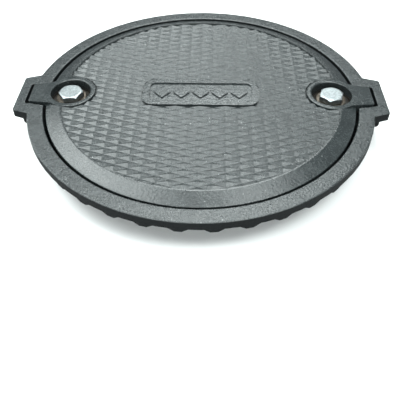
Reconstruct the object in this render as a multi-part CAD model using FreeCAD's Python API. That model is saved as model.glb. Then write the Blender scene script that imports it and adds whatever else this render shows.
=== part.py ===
import FreeCAD, Part
import math
import os

# Bolt-down access manhole: a round cast-iron frame with two ears, and a cast-iron cover that drops into it
# and is held by two hexagon bolts sunk in wells.
# Millimetres, +Z up, ears along X. The origin is the centre of the frame's foot, which the frame stands on.
# A "drop" is a depth below the frame's top rim and a "rise" is a height above it.

V = FreeCAD.Vector

# ---- Driving dimensions ----

# Frame: a flange on a tapered body, and a spigot below for a sheet-metal skirt
rim_z = 42.0
flange_r = 187.5
flange_thick = 10.0
edge_round = 1.2
flange_chamfer = 1.0
bore_r = 170.8
bore_straight = 9.0
seat_r = 164.0
seat_drop = 21.0
opening_r = 152.4
body_r = 178.0
body_foot_r = 170.0
body_drop = 28.0
body_draft = 0.5
body_draft_drop = 14.0
shoulder_drop = 30.0
spigot_r = 160.0

# Gussets under the flange, flared where they meet it, and left out near the ears
gusset_count = 36
gusset_thick = 7.0
gusset_flare = 24.0
gusset_tip_r = 186.0
gusset_tip_drop = 15.0
gusset_foot_r = 162.0
gusset_foot_drop = 29.0
ear_half_angle = 14.0

# Ears, the pocket in each for the cover's tab, and the cup cast round the pocket
ear_end_x = 201.0
ear_end_half = 30.0
ear_root_x = 180.0
ear_root_half = 37.0
ear_thick = 9.0
ear_corner_r = 2.5
pocket_end_x = 190.9
pocket_end_half = 17.2
pocket_root_x = 160.0
pocket_root_half = 23.2
pocket_drop = 10.5
pocket_corner_r = 2.5
cup_end_x = 194.5
cup_half = 27.0
cup_drop = 22.5
cup_round = 4.0

# Bolt positions and the frame's bolt lugs
bolt_x = 143.2
lug_r = 21.0
housing_r = 35.5
recess_r = 29.6

# Cover
cover_r = 168.0
cover_edge_drop = 1.0
cover_edge_round = 1.0
cover_straight = 8.0
cover_foot_r = 161.5
cover_foot_drop = 18.5
band_inner_r = 151.0
band_crest = 1.4
band_rise = 4.0
tread_rise = 1.8
diamond_x = 26.6
diamond_y = 9.67
diamond_height = 2.2
tread_corner_r = 5.0

# Bolt wells, their bosses, and the tabs that key the cover into the ears
boss_r = 27.5
boss_rise = 4.0
boss_round = 1.2
boss_groove_width = 1.3
boss_groove_drop = 0.0
well_r = 21.7
well_round = 1.8
well_drop = 8.5
bolt_hole_r = 9.0
tab_end_x = 187.1
tab_end_half = 15.5
tab_root_x = 150.0
tab_root_half = 22.3
tab_end_rise = 1.2
tab_drop = 8.5
tab_corner_r = 2.0

# Centre plate: a raised border round a sunk panel with a row of plain lozenges
plate_x = 125.8
plate_y = 47.0
plate_corner_r = 12.0
plate_rise = 4.4
border_width = 7.0
panel_corner_r = 7.0
panel_rise = 2.8
lozenge_count = 5
lozenge_pitch = 21.0
lozenge_x = 19.0
lozenge_y = 21.0
lozenge_corner_r = 1.5
lozenge_rise = 4.3
plate_margin = 1.3

# Underside of the cover
web_drop = 7.0
rim_inner_r = 150.0
rim_draft = 2.0
hub_r = 24.0
rib_count = 8
rib_thick = 7.0
rib_drop = 14.0

# M16 bolt, washers and threaded bush
head_rise = 3.5
head_height = 7.0
across_flats = 24.0
head_face_share = 0.95
head_chamfer_deg = 30.0
shank_r = 8.0
shank_length = 33.0
shank_tip = 1.5
washer_r = 16.0
washer_hole_r = 8.5
washer_thick = 3.0
seal_thick = 2.0
bush_r = 11.5
bush_flange_r = 13.5
bush_flange_thick = 4.0
bush_bore_r = 8.05
bush_chamfer = 1.0
head_turn_deg = {"left": 4.0, "right": 15.0}

# Gasket under the cover's rim
gasket_inner_r = 153.6
gasket_outer_r = 163.0

SIDES = {"left": -1, "right": 1}
ROUND_STEPS = 4
# How far a part reaches into the one it joins, and how far a cutter reaches past what it cuts
OVERLAP = 1.0
CUT_OVER = 5.0
TINY = 1e-6


# ---- Helpers ----

def revolve(points):
    """A solid turned about Z from (radius, z) points."""
    outline = Part.makePolygon([V(r, 0, z) for r, z in points + points[:1]])
    return Part.Face(outline).revolve(V(0, 0, 0), V(0, 0, 1), 360)


def rounded_rim(radius, z_top, size, corner):
    """Points of a quarter-round outer or inner top edge, from the wall up to the top face.

    corner is +1 where the material lies inside the radius and -1 where it lies outside."""
    points = []
    for i in range(ROUND_STEPS + 1):
        angle = math.radians(90.0 * i / ROUND_STEPS)
        offset = size * (1.0 - math.cos(angle))
        points.append((radius - corner * offset, z_top - size + size * math.sin(angle)))
    return points


def cylinder(radius, z_low, z_high, x=0.0):
    return Part.makeCylinder(radius, z_high - z_low, V(x, 0, z_low))


def prism(points, z_low, z_high, corner_r=0.0):
    """An upright prism over a closed outline of (x, y) points, with its upright edges rounded."""
    outline = Part.makePolygon([V(x, y, z_low) for x, y in points + points[:1]])
    solid = Part.Face(outline).extrude(V(0, 0, z_high - z_low))
    if corner_r > 0.0:
        solid = solid.makeFillet(corner_r, upright_edges(solid, points))
    return solid


def upright_edges(solid, points):
    """The vertical edges of a solid that stand on the given (x, y) points."""
    found = []
    for edge in solid.Edges:
        low = edge.Vertexes[0].Point
        high = edge.Vertexes[-1].Point
        upright = abs(low.x - high.x) < TINY and abs(low.y - high.y) < TINY
        if upright and any(math.hypot(low.x - x, low.y - y) < TINY for x, y in points):
            found.append(edge)
    return found


def trapezium(side, root_x, root_half, end_x, end_half):
    """An outline that narrows away from the centre, on the ear's side."""
    return [(side * root_x, -root_half), (side * end_x, -end_half),
            (side * end_x, end_half), (side * root_x, root_half)]


def rounded_slab(length, width, corner_r, z_low, z_high):
    slab = Part.makeBox(length, width, z_high - z_low, V(-length / 2, -width / 2, z_low))
    corners = [(sx * length / 2, sy * width / 2) for sx in (-1, 1) for sy in (-1, 1)]
    return slab.makeFillet(corner_r, upright_edges(slab, corners))


def fuse_all(first, others):
    return first.multiFuse(others).removeSplitter()


# ---- Frame ----

def frame_profile():
    """Section of the flange, body, seat and spigot."""
    top = rim_z
    outer_edge = rounded_rim(flange_r, top, edge_round, 1)
    inner_edge = rounded_rim(bore_r, top, edge_round, -1)
    flange_z = top - flange_thick
    return ([(opening_r, 0.0), (opening_r, top - seat_drop), (seat_r, top - seat_drop),
             (bore_r, top - bore_straight)]
            + inner_edge + outer_edge[::-1]
            + [(flange_r, flange_z + flange_chamfer), (flange_r - flange_chamfer, flange_z),
               (body_r, flange_z), (body_r - body_draft, top - body_draft_drop),
               (body_foot_r, top - body_drop), (spigot_r, top - shoulder_drop), (spigot_r, 0.0)])


def gusset(angle_deg):
    """A triangular rib between the flange and the foot of the body, flared out sideways under the flange."""
    top = rim_z - flange_thick + OVERLAP
    tip = rim_z - gusset_tip_drop
    foot = rim_z - gusset_foot_drop
    inside_r = spigot_r - OVERLAP
    side = [V(inside_r, 0, top), V(gusset_tip_r, 0, top), V(gusset_tip_r, 0, tip),
            V(gusset_foot_r, 0, foot), V(inside_r, 0, foot)]
    rib = Part.Face(Part.makePolygon(side + side[:1])).extrude(V(0, gusset_flare, 0))
    rib.translate(V(0, -gusset_flare / 2, 0))
    half = gusset_thick / 2
    section = [V(0, -gusset_flare / 2, top), V(0, gusset_flare / 2, top), V(0, half, tip),
               V(0, half, 0), V(0, -half, 0), V(0, -half, tip)]
    rib = rib.common(Part.Face(Part.makePolygon(section + section[:1])).extrude(V(flange_r, 0, 0)))
    rib.rotate(V(0, 0, 0), V(0, 0, 1), angle_deg)
    return rib


def gussets():
    step = 360.0 / gusset_count
    ribs = []
    for i in range(gusset_count):
        angle = (i + 0.5) * step
        from_ear = min(angle % 180.0, 180.0 - angle % 180.0)
        if from_ear > ear_half_angle:
            ribs.append(gusset(angle))
    return ribs


def ear(side):
    """One ear, with the cup below it that closes the pocket."""
    plate = prism(trapezium(side, ear_root_x, ear_root_half, ear_end_x, ear_end_half),
                  rim_z - ear_thick, rim_z)
    ends = [(side * ear_end_x, -ear_end_half), (side * ear_end_x, ear_end_half)]
    plate = plate.makeFillet(ear_corner_r, upright_edges(plate, ends))
    root = prism([(side * bore_r, -ear_root_half), (side * ear_root_x, -ear_root_half),
                  (side * ear_root_x, ear_root_half), (side * bore_r, ear_root_half)],
                 rim_z - ear_thick, rim_z)
    cup = prism([(side * bore_r, -cup_half), (side * cup_end_x, -cup_half),
                 (side * cup_end_x, cup_half), (side * bore_r, cup_half)],
                rim_z - cup_drop, rim_z - ear_thick + OVERLAP)
    rounded = [edge for edge in cup.Edges if on_cup_outside(edge, side)]
    return [plate, root, cup.makeFillet(cup_round, rounded)]


def on_cup_outside(edge, side):
    """True for the cup's lower outer edges and its two outer upright corners."""
    middle = edge.CenterOfMass
    low = abs(middle.z - (rim_z - cup_drop)) < TINY
    at_end = abs(middle.x - side * cup_end_x) < TINY
    at_sides = abs(abs(middle.y) - cup_half) < TINY
    upright = at_end and at_sides
    return upright or (low and (at_end or at_sides))


def lug(side):
    """The inward lug that carries the bolt's threaded bush, joined to the spigot wall."""
    x = side * bolt_x
    top = rim_z - seat_drop
    web_x = min(x, side * spigot_r)
    web = Part.makeBox(spigot_r - bolt_x, 2 * lug_r, top, V(web_x, -lug_r, 0))
    # Nothing stands outside the spigot, where the skirt slides on
    return cylinder(lug_r, 0.0, top, x).fuse(web).common(cylinder(spigot_r, 0.0, top))


def bush_hole(side):
    x = side * bolt_x
    hole = cylinder(bush_r, -CUT_OVER, rim_z - seat_drop + CUT_OVER, x)
    return hole.fuse(cylinder(bush_flange_r, -CUT_OVER, bush_flange_thick, x))


def make_frame_ring():
    added = gussets()
    for side in SIDES.values():
        added += ear(side)
        added.append(cylinder(housing_r, rim_z - body_drop, rim_z - ear_thick + OVERLAP, side * bolt_x))
    body = fuse_all(revolve(frame_profile()), added)
    seat_z = rim_z - seat_drop
    cavity = revolve([(0.0, seat_z), (seat_r, seat_z), (bore_r, rim_z - bore_straight),
                      (bore_r, rim_z + CUT_OVER), (0.0, rim_z + CUT_OVER)])
    # The cavity stops below the rounded rim, which the profile has shaped already
    cavity = cavity.common(cylinder(bore_r + OVERLAP, 0.0, rim_z - edge_round))
    core = cylinder(bore_r, rim_z - edge_round - OVERLAP, rim_z + CUT_OVER)
    throat = cylinder(opening_r, -CUT_OVER, seat_z)
    lugs = [lug(side) for side in SIDES.values()]
    body = body.cut([cavity, core, throat])
    body = fuse_all(body, lugs)
    cuts = []
    for side in SIDES.values():
        cuts.append(cylinder(recess_r, seat_z, rim_z - edge_round, side * bolt_x))
        pocket = trapezium(side, pocket_root_x, pocket_root_half, pocket_end_x, pocket_end_half)
        cuts.append(prism(pocket, rim_z - pocket_drop, rim_z + CUT_OVER, pocket_corner_r))
        cuts.append(bush_hole(side))
    return body.cut(cuts).removeSplitter()


# ---- Cover ----

def tread_region(z_low, z_high):
    """The tread's outline: a disc cut back round both bosses, with rounded corners."""
    disc = Part.Face(Part.Wire(Part.makeCircle(band_inner_r - tread_corner_r)))
    for side in SIDES.values():
        boss_gap = Part.makeCircle(boss_r + tread_corner_r, V(side * bolt_x, 0, 0))
        disc = disc.cut(Part.Face(Part.Wire(boss_gap)))
    solid = disc.Faces[0].makeOffset2D(tread_corner_r).extrude(V(0, 0, z_high - z_low))
    solid.translate(V(0, 0, z_low))
    return solid


def tread_comb(sign):
    """V-shaped ridges across the tread, along one diagonal of the diamonds."""
    across = V(1.0 / diamond_x, sign / diamond_y, 0)
    across.normalize()
    along = V(-across.y, across.x, 0)
    spacing = diamond_x * diamond_y / math.hypot(diamond_x, diamond_y)
    reach = int(band_inner_r / spacing) + 2
    valley_z = rim_z + tread_rise
    start = along * -band_inner_r
    low = V(0, 0, valley_z - OVERLAP)
    points = [across * (-reach * spacing) + start + low]
    for i in range(-reach, reach):
        points.append(across * (i * spacing) + start + V(0, 0, valley_z))
        points.append(across * ((i + 0.5) * spacing) + start + V(0, 0, valley_z + diamond_height))
    points.append(across * (reach * spacing) + start + V(0, 0, valley_z))
    points.append(across * (reach * spacing) + start + low)
    return Part.Face(Part.makePolygon(points + points[:1])).extrude(along * (2 * band_inner_r))


def make_tread():
    """Diamond pyramids, where two sets of ridges cross."""
    top = rim_z + tread_rise + diamond_height + OVERLAP
    region = tread_region(rim_z, top)
    plate_gap = rounded_slab(plate_x + 2 * plate_margin, plate_y + 2 * plate_margin,
                             plate_corner_r + plate_margin, rim_z - OVERLAP, top + OVERLAP)
    region = region.cut(plate_gap)
    first = tread_comb(1.0).common(region)
    second = tread_comb(-1.0).common(region)
    return first.common(second)


def cover_shell():
    """The turned body of the cover: sloping band, rim and web."""
    top = rim_z
    edge = rounded_rim(cover_r, top - cover_edge_drop, cover_edge_round, 1)
    return revolve([(0.0, top - web_drop), (rim_inner_r - rim_draft, top - web_drop),
                    (rim_inner_r, top - cover_foot_drop), (cover_foot_r, top - cover_foot_drop),
                    (cover_r, top - cover_straight)]
                   + edge + [(band_inner_r + band_crest, top + band_rise), (0.0, top + band_rise)])


def underside_ribs():
    """Radial ribs and a central hub that stiffen the web."""
    low = rim_z - rib_drop
    high = rim_z - web_drop + OVERLAP
    parts = [cylinder(hub_r, low, high)]
    for i in range(rib_count):
        rib = Part.makeBox(rim_inner_r - OVERLAP, rib_thick, high - low, V(0, -rib_thick / 2, low))
        rib.rotate(V(0, 0, 0), V(0, 0, 1), (i + 0.5) * 360.0 / rib_count)
        parts.append(rib)
    return parts


def boss(side):
    x = side * bolt_x
    profile = ([(0.0, rim_z - cover_foot_drop), (boss_r, rim_z - cover_foot_drop)]
               + rounded_rim(boss_r, rim_z + boss_rise, boss_round, 1) + [(0.0, rim_z + boss_rise)])
    solid = revolve(profile)
    solid.translate(V(x, 0, 0))
    return solid


def tab(side):
    outline = trapezium(side, tab_root_x, tab_root_half, tab_end_x, tab_end_half)
    solid = prism(outline, rim_z - tab_drop, rim_z + boss_rise)
    ends = [(side * tab_end_x, -tab_end_half), (side * tab_end_x, tab_end_half)]
    return solid.makeFillet(tab_corner_r, upright_edges(solid, ends))


def tab_slope(side):
    """The cutter that slopes the outer half of a boss and its tab down towards the ear."""
    high = rim_z + boss_rise
    end_x = tab_end_x + CUT_OVER
    end_z = high - (boss_rise - tab_end_rise) * (end_x - bolt_x) / (tab_end_x - bolt_x)
    outline = [V(side * bolt_x, -boss_r, high), V(side * end_x, -boss_r, end_z),
               V(side * end_x, -boss_r, high + CUT_OVER), V(side * bolt_x, -boss_r, high + CUT_OVER)]
    return Part.Face(Part.makePolygon(outline + outline[:1])).extrude(V(0, 2 * boss_r, 0))


def boss_groove(side, region):
    """The cutter for the narrow groove between a boss and the tread."""
    low = rim_z + boss_groove_drop
    high = rim_z + tread_rise + diamond_height + OVERLAP
    x = side * bolt_x
    ring = cylinder(boss_r + boss_groove_width, low, high, x).cut(cylinder(boss_r, low, high, x))
    return ring.common(region)


def well(side):
    """The cutter for a bolt well with a rounded mouth, and the bolt hole below it."""
    mouth = rim_z + boss_rise
    wall = rounded_rim(well_r, mouth, well_round, -1)
    profile = ([(0.0, rim_z - well_drop), (well_r, rim_z - well_drop)] + wall
               + [(wall[-1][0], mouth + CUT_OVER), (0.0, mouth + CUT_OVER)])
    cutter = revolve(profile)
    cutter = cutter.fuse(cylinder(bolt_hole_r, rim_z - cover_foot_drop - CUT_OVER, rim_z))
    cutter.translate(V(side * bolt_x, 0, 0))
    return cutter


def centre_plate():
    """The raised border and the lozenges in the sunk panel."""
    low = rim_z - OVERLAP
    border = rounded_slab(plate_x, plate_y, plate_corner_r, low, rim_z + plate_rise)
    panel = rounded_slab(plate_x - 2 * border_width, plate_y - 2 * border_width,
                         panel_corner_r, rim_z + panel_rise, rim_z + plate_rise + CUT_OVER)
    parts = [border.cut(panel)]
    for i in range(lozenge_count):
        x = (i - (lozenge_count - 1) / 2) * lozenge_pitch
        corners = [(x - lozenge_x / 2, 0.0), (x, -lozenge_y / 2),
                   (x + lozenge_x / 2, 0.0), (x, lozenge_y / 2)]
        parts.append(prism(corners, low, rim_z + lozenge_rise, lozenge_corner_r))
    return parts


def make_cover():
    crown_z = rim_z + band_rise
    # The tread field is sunk below the crest of the band
    body = cover_shell().cut(tread_region(rim_z + tread_rise, crown_z + CUT_OVER))
    raised = underside_ribs()
    for side in SIDES.values():
        # The band is cut away over each boss, so that only the boss and its tab stand there
        body = body.cut(cylinder(boss_r, rim_z, crown_z + CUT_OVER, side * bolt_x))
        raised += [boss(side), tab(side)]
    body = fuse_all(body, raised)
    body = body.cut([tab_slope(side) for side in SIDES.values()])
    body = fuse_all(body, [make_tread()] + centre_plate())
    region = tread_region(rim_z, crown_z + CUT_OVER)
    cuts = [boss_groove(side, region) for side in SIDES.values()]
    cuts += [well(side) for side in SIDES.values()]
    return body.cut(cuts)


# ---- Gasket, bolts, washers and bushes ----

def make_gasket():
    low = rim_z - seat_drop
    high = rim_z - cover_foot_drop
    return cylinder(gasket_outer_r, low, high).cut(cylinder(gasket_inner_r, low, high))


def make_bolt(side, turn_deg):
    """A hexagon-head bolt. Its thread is a plain cylinder of the thread's outer size."""
    seat_z = rim_z + head_rise - head_height
    top_z = rim_z + head_rise
    corner_r = across_flats / 2 / math.cos(math.radians(30))
    corners = []
    for i in range(6):
        angle = math.radians(60 * i + turn_deg)
        corners.append((corner_r * math.cos(angle), corner_r * math.sin(angle)))
    head = prism(corners, seat_z, top_z)
    # A cone trims the corners, leaving a round top face a little smaller than the flats
    face_r = head_face_share * across_flats / 2
    slope = math.tan(math.radians(head_chamfer_deg))
    cone_r = corner_r + OVERLAP
    cone = revolve([(0.0, seat_z), (cone_r, seat_z), (cone_r, top_z - (cone_r - face_r) * slope),
                    (face_r, top_z), (0.0, top_z)])
    head = head.common(cone)
    end_z = seat_z - shank_length
    shank = revolve([(0.0, end_z), (shank_r - shank_tip, end_z), (shank_r, end_z + shank_tip),
                     (shank_r, seat_z + OVERLAP), (0.0, seat_z + OVERLAP)])
    bolt = head.fuse(shank)
    bolt.translate(V(side * bolt_x, 0, 0))
    return bolt


def make_ring(side, low, high):
    """A flat washer between two heights on the bolt's axis."""
    x = side * bolt_x
    return cylinder(washer_r, low, high, x).cut(cylinder(washer_hole_r, low, high, x))


def make_bush(side):
    """A flanged steel bush that the bolt screws into, fitted from below."""
    top = rim_z - seat_drop
    bush = revolve([(bush_bore_r + bush_chamfer, 0.0), (bush_flange_r, 0.0),
                    (bush_flange_r, bush_flange_thick), (bush_r, bush_flange_thick), (bush_r, top),
                    (bush_bore_r + bush_chamfer, top), (bush_bore_r, top - bush_chamfer),
                    (bush_bore_r, bush_chamfer)])
    bush.translate(V(side * bolt_x, 0, 0))
    return bush


def make_all():
    nodes = {"frame_ring": make_frame_ring(), "cover": make_cover(), "cover_gasket": make_gasket()}
    for name, side in SIDES.items():
        seal_low = rim_z - well_drop
        washer_low = seal_low + seal_thick
        nodes[name + "_bolt"] = make_bolt(side, head_turn_deg[name])
        nodes[name + "_washer"] = make_ring(side, washer_low, washer_low + washer_thick)
        nodes[name + "_seal_washer"] = make_ring(side, seal_low, seal_low + seal_thick)
        nodes[name + "_threaded_bush"] = make_bush(side)
    return nodes


def main():
    os.makedirs("parts", exist_ok=True)
    for name, shape in make_all().items():
        if shape.ShapeType == "Compound" and len(shape.Solids) == 1:
            shape = shape.Solids[0]
        shape.exportStep("parts/" + name + ".step")
        box = shape.BoundBox
        print("%-22s solids %d faces %5d valid %s volume %9.0f  z %.2f..%.2f  x %.1f..%.1f" % (
            name, len(shape.Solids), len(shape.Faces), shape.isValid(), shape.Volume,
            box.ZMin, box.ZMax, box.XMin, box.XMax))


main()
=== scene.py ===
import math

import bmesh
import bpy
import numpy as np
from mathutils import Matrix, Vector, noise


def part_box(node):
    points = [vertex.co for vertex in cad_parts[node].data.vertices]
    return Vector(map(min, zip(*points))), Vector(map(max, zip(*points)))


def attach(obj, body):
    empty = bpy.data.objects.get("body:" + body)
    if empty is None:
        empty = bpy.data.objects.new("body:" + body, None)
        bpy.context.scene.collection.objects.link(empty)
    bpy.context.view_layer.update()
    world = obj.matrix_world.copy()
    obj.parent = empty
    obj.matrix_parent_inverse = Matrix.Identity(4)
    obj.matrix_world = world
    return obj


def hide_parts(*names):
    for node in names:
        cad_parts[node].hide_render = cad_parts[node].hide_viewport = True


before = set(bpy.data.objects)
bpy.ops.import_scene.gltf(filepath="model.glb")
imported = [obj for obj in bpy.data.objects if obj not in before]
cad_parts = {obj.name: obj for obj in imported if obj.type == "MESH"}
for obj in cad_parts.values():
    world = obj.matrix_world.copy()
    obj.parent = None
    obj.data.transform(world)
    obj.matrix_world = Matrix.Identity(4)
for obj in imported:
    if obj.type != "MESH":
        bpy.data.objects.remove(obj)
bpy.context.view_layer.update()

# Bolt-down manhole cover. Metres, in the CAD frame: +Z up, ears along X, foot on z = 0.

MM = 0.001
SIDES = ("left", "right")

# ---- Camera ----
CAMERA_PLACE = Vector((0.0122, -0.4950, 0.3931))
CAMERA_DOWN_DEG = 46.315
CAMERA_YAW_DEG = -1.581
CAMERA_ROLL_DEG = -0.376
CAMERA_LENS_MM = 48.736

# ---- Castings ----
# The longest triangle edges, near the top and below it. They keep each casting under 200 000 faces.
TOP_EDGE = 3.4 * MM
LOWER_EDGE = 9.0 * MM
TOP_DEPTH = 6.0 * MM
SOFTEN = 0.12
MAX_SHIFT = 0.09 * MM
LUMP_SCALE = 110.0
SAND_SCALE = 420.0
SAND_SHARE = 0.15
WELD_GAP = 0.002 * MM
SHORTEST_EDGE = 0.001 * MM
CREASE_DEG = 35.0
TREAD_CREASE_DEG = 10.0

# ---- Bolt ----
HEAD_APOTHEM = 12.0 * MM
HEAD_FACE_SHARE = 0.95
SHANK_R = 8.0 * MM
THREAD_PITCH = 2.0 * MM
THREAD_DEPTH = 1.2 * MM
HEX_CHAMFER_DEG = 30.0
BEARING_GAP = 0.04 * MM


# ---- Materials ----

class Nodes:
    """A short way to write a node tree."""

    def __init__(self, name):
        self.material = bpy.data.materials.new(name)
        self.material.use_nodes = True
        self.tree = self.material.node_tree
        self.tree.nodes.clear()
        self.shader = self.add("ShaderNodeBsdfPrincipled")
        self.output = self.add("ShaderNodeOutputMaterial")
        self.join(self.shader.outputs["BSDF"], self.output.inputs["Surface"])
        self.place = self.add("ShaderNodeTexCoord").outputs["Object"]

    def add(self, kind, **settings):
        node = self.tree.nodes.new(kind)
        for key, value in settings.items():
            setattr(node, key, value)
        return node

    def join(self, source, target):
        self.tree.links.new(source, target)

    def feed(self, node, values):
        for key, value in values.items():
            socket = node.inputs[key]
            if hasattr(value, "is_linked"):
                self.join(value, socket)
            else:
                socket.default_value = value
        return node

    def noise(self, scale, detail=2.0, roughness=0.5, place=None):
        node = self.feed(self.add("ShaderNodeTexNoise"),
                         {"Vector": place or self.place, "Scale": scale, "Detail": detail,
                          "Roughness": roughness})
        return node.outputs["Fac"]

    def part(self, vector, axis):
        return self.feed(self.add("ShaderNodeSeparateXYZ"), {"Vector": vector}).outputs[axis]

    def stretched(self, scale):
        node = self.add("ShaderNodeMapping")
        self.feed(node, {"Vector": self.place, "Scale": scale})
        return node.outputs["Vector"]

    def ramp(self, value, low, high, to_low=0.0, to_high=1.0):
        node = self.add("ShaderNodeMapRange")
        self.feed(node, {"Value": value, "From Min": low, "From Max": high,
                         "To Min": to_low, "To Max": to_high})
        return node.outputs["Result"]

    def math(self, operation, a, b):
        node = self.add("ShaderNodeMath", operation=operation)
        self.feed(node, {0: a, 1: b})
        return node.outputs["Value"]

    def mix(self, factor, a, b):
        node = self.add("ShaderNodeMix", data_type="RGBA")
        self.feed(node, {0: factor, 6: a, 7: b})
        return node.outputs[2]

    def bump(self, height, distance):
        node = self.add("ShaderNodeBump")
        self.feed(node, {"Height": height, "Distance": distance, "Strength": 1.0})
        return node.outputs["Normal"]

    def finish(self, values):
        self.feed(self.shader, values)
        return self.material


def colour(red, green, blue):
    return (red, green, blue, 1.0)


def cast_iron(name, grain, roughness, wall_shade, floor_z):
    """Sand-cast iron under a thin satin black coat, with dry dirt below floor_z.

    grain scales the sand texture. wall_shade sets how strongly steep and downward faces get painted shade:
    near-black colour, more roughness and less specular.
    """
    n = Nodes(name)
    fine = n.noise(1000.0, 2.0, 0.6)
    sand = n.noise(480.0, 2.0, 0.6)
    broad = n.noise(70.0, 3.0, 0.5)
    nicks = n.ramp(n.noise(330.0, 1.0, 0.4), 0.77, 0.80)
    surface = n.add("ShaderNodeNewGeometry")
    worn = n.ramp(surface.outputs["Pointiness"], 0.53, 0.62)
    coat = n.mix(n.ramp(broad, 0.35, 0.65), colour(0.016, 0.020, 0.021), colour(0.021, 0.026, 0.027))
    dusty = n.mix(n.ramp(sand, 0.52, 0.72, 0.0, 0.5), coat, colour(0.060, 0.070, 0.072))
    bare = n.mix(n.math("MAXIMUM", nicks, n.math("MULTIPLY", worn, 0.12)), dusty, colour(0.20, 0.21, 0.21))
    # Painted shade: steep and downward-facing faces are painted near-black and made matt with little
    # specular, so the walls read as dark shade.
    painted_wall_shade = n.math("MULTIPLY", n.ramp(n.part(surface.outputs["True Normal"], "Z"), 0.55, 0.20), wall_shade)
    wall_shaded = n.mix(painted_wall_shade, bare, colour(0.004, 0.005, 0.0055))
    settled = n.math("ADD", n.part(n.place, "Z"), n.ramp(broad, 0.3, 0.7, -1.5 * MM, 1.5 * MM))
    dirt = n.ramp(settled, floor_z + 2.0 * MM, floor_z - 1.0 * MM, 0.0, 0.7)
    base = n.mix(dirt, wall_shaded, n.mix(sand, colour(0.014, 0.010, 0.007), colour(0.034, 0.026, 0.018)))
    rough = n.ramp(n.math("ADD", fine, broad), 0.7, 1.3, roughness - 0.06, roughness + 0.06)
    matt = n.math("MAXIMUM", rough, n.math("MULTIPLY", n.math("MAXIMUM", dirt, painted_wall_shade), 0.75))
    shine = n.ramp(n.math("MAXIMUM", dirt, painted_wall_shade), 0.0, 1.0, 0.5, 0.08)
    height = n.math("ADD", n.math("MULTIPLY", fine, 0.35), sand)
    return n.finish({"Base Color": base, "Roughness": matt, "IOR": 1.6, "Specular IOR Level": shine,
                     "Normal": n.bump(height, 0.85 * MM * grain)})


def zinc_steel(name, light, dark, roughness):
    """Zinc-plated steel with fine scratches, mottled between the two tones light and dark."""
    n = Nodes(name)
    mottle = n.noise(520.0, 3.0, 0.6)
    scratches = n.noise(900.0, 2.0, 0.5, n.stretched((1.0, 0.12, 1.0)))
    base = n.mix(n.ramp(mottle, 0.38, 0.62), colour(*dark), colour(*light))
    rough = n.ramp(scratches, 0.3, 0.7, roughness - 0.08, roughness + 0.08)
    height = n.math("ADD", mottle, n.math("MULTIPLY", scratches, 0.5))
    return n.finish({"Base Color": base, "Metallic": 1.0, "Roughness": rough,
                     "Normal": n.bump(height, 0.08 * MM)})


def turned_steel(name):
    """Turned stainless steel with fine rings round the bore and a few dull spots."""
    n = Nodes(name)
    rings = n.noise(1.0, 1.0, 0.5, n.stretched((90.0, 90.0, 6000.0)))
    spots = n.noise(300.0, 3.0, 0.6)
    base = n.mix(n.ramp(spots, 0.4, 0.7), colour(0.52, 0.53, 0.54), colour(0.36, 0.36, 0.36))
    rough = n.ramp(rings, 0.3, 0.7, 0.26, 0.42)
    return n.finish({"Base Color": base, "Metallic": 1.0, "Roughness": rough,
                     "Normal": n.bump(rings, 0.02 * MM)})


def rubber(name):
    """Moulded black rubber with a bloom of dust."""
    n = Nodes(name)
    bloom = n.noise(160.0, 4.0, 0.6)
    grain = n.noise(1500.0, 2.0, 0.5)
    base = n.mix(n.ramp(bloom, 0.40, 0.75), colour(0.020, 0.020, 0.021), colour(0.050, 0.049, 0.047))
    rough = n.ramp(bloom, 0.3, 0.7, 0.62, 0.82)
    return n.finish({"Base Color": base, "Roughness": rough, "Normal": n.bump(grain, 0.05 * MM)})


def floor_paint(name):
    n = Nodes(name)
    cloud = n.noise(2.0, 3.0, 0.5)
    grain = n.noise(600.0, 2.0, 0.5)
    base = n.mix(cloud, colour(0.86, 0.86, 0.86), colour(0.89, 0.89, 0.89))
    return n.finish({"Base Color": base, "Roughness": 0.85, "Normal": n.bump(grain, 0.02 * MM)})


# ---- Mesh helpers ----

def add_piece(name, mesh, material, body, slot, *replaced):
    """Links a finished mesh as a piece that rides on a CAD body and stands for CAD nodes."""
    mesh.materials.clear()
    mesh.materials.append(material)
    piece = bpy.data.objects.new(name, mesh)
    bpy.context.scene.collection.objects.link(piece)
    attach(piece, body)
    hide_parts(*replaced)
    return piece


def welded(node):
    """The points and triangles of a CAD node, with its seams closed."""
    shape = bmesh.new()
    shape.from_mesh(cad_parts[node].data)
    bmesh.ops.remove_doubles(shape, verts=shape.verts, dist=WELD_GAP)
    bmesh.ops.triangulate(shape, faces=shape.faces)
    bmesh.ops.dissolve_degenerate(shape, edges=shape.edges, dist=SHORTEST_EDGE)
    bmesh.ops.triangulate(shape, faces=shape.faces)
    shape.verts.index_update()
    points = np.array([vertex.co for vertex in shape.verts])
    faces = np.array([[vertex.index for vertex in face.verts] for face in shape.faces])
    shape.free()
    return points, faces


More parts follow.
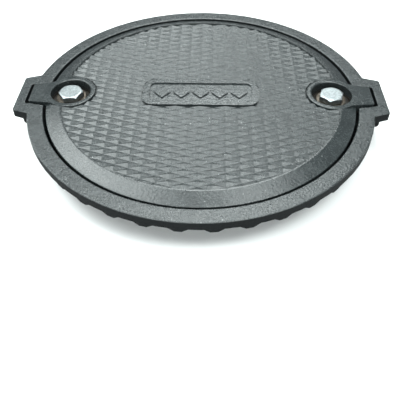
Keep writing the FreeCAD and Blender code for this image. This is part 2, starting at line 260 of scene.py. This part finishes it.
def split_pass(points, faces, longest_allowed):
    """Splits the longest side of every triangle that is over its limit. Returns None when there is none."""
    corners = points[faces]
    lengths = np.linalg.norm(corners - np.roll(corners, -1, axis=1), axis=2)
    long = np.flatnonzero(lengths.max(axis=1) > longest_allowed(corners.mean(axis=1)))
    if len(long) == 0:
        return None
    ends = np.stack([faces, np.roll(faces, -1, axis=1)], axis=2)
    keys = ends.min(axis=2) * len(points) + ends.max(axis=2)
    marked = np.unique(keys[long, lengths[long].argmax(axis=1)])
    place = np.minimum(np.searchsorted(marked, keys), len(marked) - 1)
    hit = marked[place] == keys
    middle = len(points) + place
    first, second = np.divmod(marked, len(points))
    points = np.vstack([points, (points[first] + points[second]) / 2.0])
    parts = [faces[~hit.any(axis=1)]]
    for turn in range(3):
        a, b, c = (faces[:, (turn + i) % 3] for i in range(3))
        m, n, o = (middle[:, (turn + i) % 3] for i in range(3))
        on_m, on_n, on_o = (hit[:, (turn + i) % 3] for i in range(3))
        one = on_m & ~on_n & ~on_o
        two = on_m & on_n & ~on_o
        three = on_m & on_n & on_o if turn == 0 else np.zeros(len(faces), bool)
        for chosen, triangles in ((one, ((a, m, c), (m, b, c))),
                                  (two, ((m, b, n), (a, m, n), (a, n, c))),
                                  (three, ((a, m, o), (m, b, n), (o, n, c), (m, n, o)))):
            parts += [np.stack([corner[chosen] for corner in triangle], axis=1) for triangle in triangles]
    return points, np.vstack(parts)


def refined(points, faces, top_z):
    """The same surface in small even triangles, smaller above top_z, with every CAD edge kept."""
    def longest_allowed(centres):
        return np.where(centres[:, 2] > top_z, TOP_EDGE, LOWER_EDGE)

    result = (points, faces)
    while result is not None:
        points, faces = result
        result = split_pass(points, faces, longest_allowed)
    return points, faces


def softened(points, faces):
    """Points moved a little towards their neighbours, which rounds the edges and leaves flats alone."""
    total = np.zeros_like(points)
    count = np.zeros(len(points))
    for i, j in ((0, 1), (1, 2), (2, 0)):
        np.add.at(total, faces[:, i], points[faces[:, j]])
        np.add.at(total, faces[:, j], points[faces[:, i]])
        np.add.at(count, faces[:, i], 1)
        np.add.at(count, faces[:, j], 1)
    return points + SOFTEN * (total / count[:, None] - points)


def mark_creases(mesh, tread_z):
    """Keeps the edges of the casting crisp, and the shallow ridges of the tread too."""
    mesh.shade_smooth()
    shape = bmesh.new()
    shape.from_mesh(mesh)
    for edge in shape.edges:
        middle = (edge.verts[0].co + edge.verts[1].co) / 2.0
        limit = TREAD_CREASE_DEG if middle.z > tread_z else CREASE_DEG
        edge.smooth = len(edge.link_faces) != 2 or edge.calc_face_angle() < math.radians(limit)
    shape.to_mesh(mesh)
    shape.free()


def casting(node, seed, amount, tread_z):
    """A CAD casting with softened edges and the lumpy skin of a sand mould, kept inside its CAD box."""
    low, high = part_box(node)
    points, faces = refined(*welded(node), high.z - TOP_DEPTH)
    mesh = bpy.data.meshes.new(node + "_skin")
    mesh.from_pydata(points.tolist(), [], faces.tolist())
    mark_creases(mesh, tread_z)
    points = softened(points, faces)
    normals = np.array([vertex.normal for vertex in mesh.vertices])
    offset = Vector((seed, seed * 2.0, 0.0))
    for i, point in enumerate(points):
        spot = Vector(point)
        lumps = noise.noise(spot * LUMP_SCALE + offset)
        sand = noise.noise(spot * SAND_SCALE + offset)
        point += normals[i] * (amount * MAX_SHIFT * (lumps + SAND_SHARE * sand))
    points = np.clip(points, np.array(low), np.array(high))
    mesh.vertices.foreach_set("co", points.astype(np.float32).ravel())
    mesh.update()
    return mesh


def tube_mesh(name, rings, close=True):
    """A closed surface through rings of points, each ring a list of the same length."""
    count = len(rings[0])
    points = [point for ring in rings for point in ring]
    faces = []
    last = len(rings) if close else len(rings) - 1
    for i in range(last):
        here = i * count
        there = ((i + 1) % len(rings)) * count
        for k in range(count):
            after = (k + 1) % count
            faces.append((here + k, here + after, there + after, there + k))
    if not close:
        faces.append(tuple(reversed(range(count))))
        faces.append(tuple(range((len(rings) - 1) * count, len(rings) * count)))
    mesh = bpy.data.meshes.new(name)
    mesh.from_pydata(points, [], faces)
    return mesh


def turned_mesh(name, x, profile, count=96, ripple=0.0, seed=0.0):
    """A ring turned about the bolt axis at x from (radius, z) points, with a slight ripple in its surface."""
    rings = []
    for radius, z in profile:
        ring = []
        for k in range(count):
            angle = 2.0 * math.pi * k / count
            spot = Vector((math.cos(angle) * radius, math.sin(angle) * radius, z))
            change = ripple * noise.noise(spot * 260.0 + Vector((seed, 0.0, 0.0)))
            ring.append((x + spot.x * (1.0 + change / radius), spot.y * (1.0 + change / radius), z))
        rings.append(ring)
    mesh = tube_mesh(name, rings)
    return split_by_angle(mesh, 40.0)


def split_by_angle(mesh, degrees):
    mesh.shade_smooth()
    mesh.set_sharp_from_angle(angle=math.radians(degrees))
    return mesh


def bevelled(inner, outer, low, high, size, steps=3):
    """(radius, z) points of a rectangular ring section with rounded corners."""
    corners = [(outer - size, low + size, -90.0), (outer - size, high - size, 0.0),
               (inner + size, high - size, 90.0), (inner + size, low + size, 180.0)]
    points = []
    for radius, z, start in corners:
        for i in range(steps + 1):
            angle = math.radians(start + 90.0 * i / steps)
            points.append((radius + size * math.cos(angle), z + size * math.sin(angle)))
    return points


# ---- Pieces ----

def make_castings():
    rim_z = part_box("frame_ring")[1].z
    well_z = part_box("left_washer")[0].z
    cover_skin = cast_iron("cover_cast_iron", 0.40, 0.24, 0.35, well_z)
    frame_skin = cast_iron("frame_cast_iron", 0.7, 0.27, 1.0, 0.0)
    cover = casting("cover", 3.0, 0.8, rim_z + 1.5 * MM)
    add_piece("cover_casting", cover, cover_skin, "cover", "cast_iron_black", "cover")
    ring = casting("frame_ring", 7.0, 1.2, rim_z + 1.5 * MM)
    add_piece("frame_casting", ring, frame_skin, "frame", "cast_iron_black", "frame_ring")


def hex_radius(angle, apothem):
    sixth = math.radians(60.0)
    return apothem / math.cos((angle % sixth) - sixth / 2.0)


def head_turn(side):
    """How far round the hexagon head is turned, read from the CAD head's corner."""
    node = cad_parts[side + "_bolt"]
    low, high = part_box(side + "_bolt")
    centre_x = (low.x + high.x) / 2.0
    corner = max(node.data.vertices, key=lambda v: round(math.hypot(v.co.x - centre_x, v.co.y), 6))
    return math.atan2(corner.co.y, corner.co.x - centre_x)


def make_bolt(side, material):
    low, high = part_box(side + "_bolt")
    washer_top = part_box(side + "_washer")[1].z
    x = (low.x + high.x) / 2.0
    apothem = HEAD_APOTHEM
    turn = head_turn(side)
    slope = math.tan(math.radians(HEX_CHAMFER_DEG))
    face_r = HEAD_FACE_SHARE * apothem
    count = 96
    rings = []

    def ring(z, radius_at):
        points = []
        for k in range(count):
            angle = 2.0 * math.pi * k / count
            radius = radius_at(angle, z)
            points.append((x + radius * math.cos(angle + turn), radius * math.sin(angle + turn), z))
        rings.append(points)

    def threaded(angle, z):
        phase = ((z - low.z) / THREAD_PITCH - (angle + turn) / (2.0 * math.pi)) % 1.0
        tooth = min(1.0, abs(phase - 0.5) * 2.6)
        run_out = min(1.0, max(0.0, (washer_top - 2.0 * MM - z) / (3.0 * MM)))
        tip = max(0.0, 1.0 - (z - low.z) / (1.5 * MM)) * 1.3 * MM
        return min(SHANK_R - THREAD_DEPTH * tooth * run_out, SHANK_R - tip)

    def headed(angle, z):
        cone = face_r + (high.z - z) / slope
        return min(hex_radius(angle, apothem), cone)

    ring(low.z, lambda a, z: 2.0 * MM)
    ring(low.z, lambda a, z: 4.5 * MM)
    levels = 130
    for i in range(levels + 1):
        ring(low.z + (washer_top - low.z) * i / levels, threaded)
    ring(washer_top + BEARING_GAP, lambda a, z: 11.2 * MM)
    ring(washer_top + 0.4 * MM, lambda a, z: 11.4 * MM)
    ring(washer_top + 0.4 * MM, lambda a, z: hex_radius(a, apothem) - 0.5 * MM)
    ring(washer_top + 0.7 * MM, lambda a, z: hex_radius(a, apothem) - 0.1 * MM)
    head_levels = 34
    for i in range(head_levels + 1):
        share = (i / head_levels) ** 0.6
        z = washer_top + 0.9 * MM + (high.z - washer_top - 1.0 * MM) * share
        ring(z, headed)
    ring(high.z - 0.03 * MM, lambda a, z: face_r - 0.15 * MM)
    ring(high.z, lambda a, z: face_r - 0.6 * MM)
    for share in (0.8, 0.6, 0.4, 0.2, 0.08):
        ring(high.z - 0.12 * MM * (1.0 - share), lambda a, z: face_r * share)
    mesh = split_by_angle(tube_mesh(side + "_hex_bolt", rings, close=False), 22.0)
    return add_piece(side + "_hex_bolt", mesh, material, side + "_bolt", "bolt_steel", side + "_bolt")


def make_washer(side, material):
    low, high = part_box(side + "_washer")
    x = (low.x + high.x) / 2.0
    profile = bevelled(8.5 * MM, (high.x - low.x) / 2.0, low.z, high.z, 0.35 * MM)
    mesh = turned_mesh(side + "_flat_washer", x, profile)
    return add_piece(side + "_flat_washer", mesh, material, side + "_washer", "bolt_steel", side + "_washer")


def make_seal_washer(side, material):
    low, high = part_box(side + "_seal_washer")
    x = (low.x + high.x) / 2.0
    profile = bevelled(8.5 * MM, (high.x - low.x) / 2.0, low.z, high.z, 0.9 * MM, 5)
    mesh = turned_mesh(side + "_rubber_seal", x, profile, ripple=0.05 * MM, seed=4.0)
    return add_piece(side + "_rubber_seal", mesh, material, "cover", "gasket_rubber", side + "_seal_washer")


def make_gasket(material):
    low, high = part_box("cover_gasket")
    profile = bevelled(153.6 * MM, high.x, low.z, high.z, 0.8 * MM, 4)
    mesh = turned_mesh("rim_gasket", 0.0, profile, count=360, ripple=0.08 * MM, seed=9.0)
    return add_piece("rim_gasket", mesh, material, "frame", "gasket_rubber", "cover_gasket")


def make_bush(side, material):
    low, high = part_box(side + "_threaded_bush")
    x = (low.x + high.x) / 2.0
    flange_r = (high.x - low.x) / 2.0
    bore_r = 8.05 * MM
    body_r = 11.5 * MM
    flange_thick = 4.0 * MM
    count = 72
    profile = [(bore_r + 1.0 * MM, low.z), (flange_r - 0.5 * MM, low.z), (flange_r, low.z + 0.5 * MM),
               (flange_r, low.z + flange_thick - 0.3 * MM), (flange_r - 0.3 * MM, low.z + flange_thick),
               (body_r, low.z + flange_thick), (body_r, high.z - 0.3 * MM), (body_r - 0.3 * MM, high.z),
               (bore_r + 1.0 * MM, high.z)]
    rings = []
    for radius, z in profile:
        rings.append([(x + radius * math.cos(2 * math.pi * k / count),
                       radius * math.sin(2 * math.pi * k / count), z) for k in range(count)])
    levels = 84
    for i in range(levels + 1):
        z = high.z - 0.9 * MM - (high.z - low.z - 1.8 * MM) * i / levels
        ring = []
        for k in range(count):
            angle = 2.0 * math.pi * k / count
            phase = (z / THREAD_PITCH - angle / (2.0 * math.pi)) % 1.0
            radius = bore_r + 0.7 * MM * min(1.0, abs(phase - 0.5) * 2.4)
            ring.append((x + radius * math.cos(angle), radius * math.sin(angle), z))
        rings.append(ring)
    mesh = split_by_angle(tube_mesh(side + "_bush_sleeve", rings), 35.0)
    return add_piece(side + "_bush_sleeve", mesh, material, "frame", "bush_steel", side + "_threaded_bush")


# ---- Stage ----

def make_floor():
    shape = bmesh.new()
    bmesh.ops.create_circle(shape, cap_ends=True, radius=6.0, segments=96)
    mesh = bpy.data.meshes.new("floor")
    shape.to_mesh(mesh)
    shape.free()
    mesh.materials.append(floor_paint("pale_floor"))
    floor = bpy.data.objects.new("floor", mesh)
    bpy.context.scene.collection.objects.link(floor)


def add_softbox(name, azimuth_deg, elevation_deg, distance, width, height, radiance, tint=(1.0, 1.0, 1.0)):
    """A rectangular light aimed at the cover. Azimuth 0 is behind it (+Y), and +X is to the right."""
    azimuth = math.radians(azimuth_deg)
    elevation = math.radians(elevation_deg)
    direction = Vector((math.sin(azimuth) * math.cos(elevation), math.cos(azimuth) * math.cos(elevation),
                        math.sin(elevation)))
    light = bpy.data.lights.new(name, "AREA")
    light.shape = "RECTANGLE"
    light.size = width
    light.size_y = height
    light.energy = radiance * math.pi * width * height
    light.color = tint
    lamp = bpy.data.objects.new(name, light)
    lamp.location = direction * distance
    lamp.rotation_euler = direction.to_track_quat("Z", "Y").to_euler()
    bpy.context.scene.collection.objects.link(lamp)


def make_lights():
    """Seven softboxes: azimuth and elevation, distance, width and height, radiance."""
    tint = (0.93, 1.0, 0.99)
    add_softbox("back_softbox", 2.0, 52.0, 1.5, 0.7, 0.6, 10.5, tint)
    add_softbox("left_softbox", -78.0, 60.0, 1.5, 0.6, 0.9, 7.5, tint)
    add_softbox("low_left_softbox", -60.0, 38.0, 1.5, 0.6, 0.6, 6.0, tint)
    add_softbox("top_softbox", 50.0, 75.0, 1.5, 1.0, 0.5, 6.0, tint)
    add_softbox("front_right_softbox", 135.0, 60.0, 1.5, 0.6, 0.5, 16.0, tint)
    add_softbox("front_left_softbox", -135.0, 60.0, 1.5, 0.6, 0.5, 8.5, tint)
    add_softbox("floor_fill", 180.0, 25.0, 2.0, 2.4, 0.8, 5.0, tint)
    world = bpy.data.worlds.new("studio")
    bpy.context.scene.world = world
    world.use_nodes = True
    background = world.node_tree.nodes["Background"]
    background.inputs["Color"].default_value = (0.95, 0.98, 1.0, 1.0)
    background.inputs["Strength"].default_value = 0.25


def make_camera():
    pitch = math.radians(CAMERA_DOWN_DEG)
    yaw = math.radians(CAMERA_YAW_DEG)
    roll = math.radians(CAMERA_ROLL_DEG)
    forward = Vector((math.sin(yaw) * math.cos(pitch), math.cos(yaw) * math.cos(pitch), -math.sin(pitch)))
    right = Vector((math.cos(yaw), -math.sin(yaw), 0.0))
    up = right.cross(forward)
    rolled_right = math.cos(roll) * right + math.sin(roll) * up
    rolled_up = math.cos(roll) * up - math.sin(roll) * right
    turn = Matrix((rolled_right, rolled_up, -forward)).transposed()
    data = bpy.data.cameras.new("camera")
    data.sensor_width = 36.0
    data.lens = CAMERA_LENS_MM
    data.clip_start = 0.01
    camera = bpy.data.objects.new("camera", data)
    camera.matrix_world = Matrix.Translation(CAMERA_PLACE) @ turn.to_4x4()
    bpy.context.scene.collection.objects.link(camera)
    bpy.context.scene.camera = camera


def make_all():
    make_camera()
    make_castings()
    bright_steel = zinc_steel("bright_zinc", (0.46, 0.50, 0.51), (0.28, 0.31, 0.32), 0.40)
    dull_steel = zinc_steel("dirty_zinc", (0.16, 0.14, 0.12), (0.05, 0.04, 0.03), 0.50)
    stainless = turned_steel("turned_stainless")
    black_rubber = rubber("moulded_rubber")
    make_gasket(black_rubber)
    for side in SIDES:
        make_bolt(side, bright_steel)
        make_washer(side, dull_steel)
        make_seal_washer(side, black_rubber)
        make_bush(side, stainless)
    make_floor()
    make_lights()
    bpy.context.scene.view_settings.view_transform = "Standard"


make_all()
